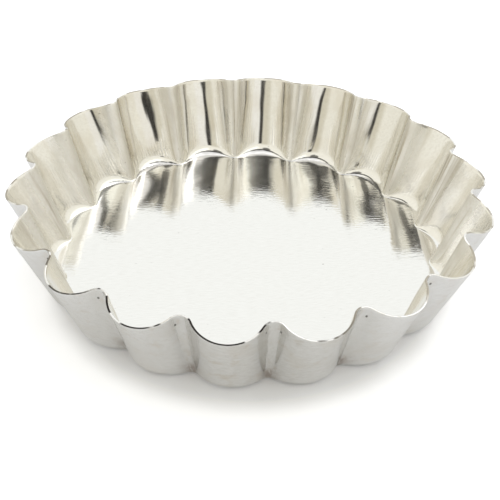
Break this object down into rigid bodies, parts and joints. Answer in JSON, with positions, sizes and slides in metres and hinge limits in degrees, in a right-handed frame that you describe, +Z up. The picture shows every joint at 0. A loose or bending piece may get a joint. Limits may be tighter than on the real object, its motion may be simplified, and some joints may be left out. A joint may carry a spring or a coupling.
{
  "type": "fluted tinplate mould",
  "caption": "Shallow round tartlet mould pressed from one tinplate sheet, with a flat base, a flared wall of rounded flutes and a raw wavy rim.",
  "frame": {"origin": "middle of the underside, in the plane that the mould rests on", "axes": "+Z up along the mould's axis, out of its mouth; +X through the crest of a flute; +Y through a ridge between two flutes"},
  "size_m": [0.1, 0.0988, 0.0188],
  "materials": {
    "tinplate": "bright tinplate, faintly brushed on the base"
  },
  "bodies": {
    "root": {"mould_shell": "tinplate"}
  },
  "joints": []
}
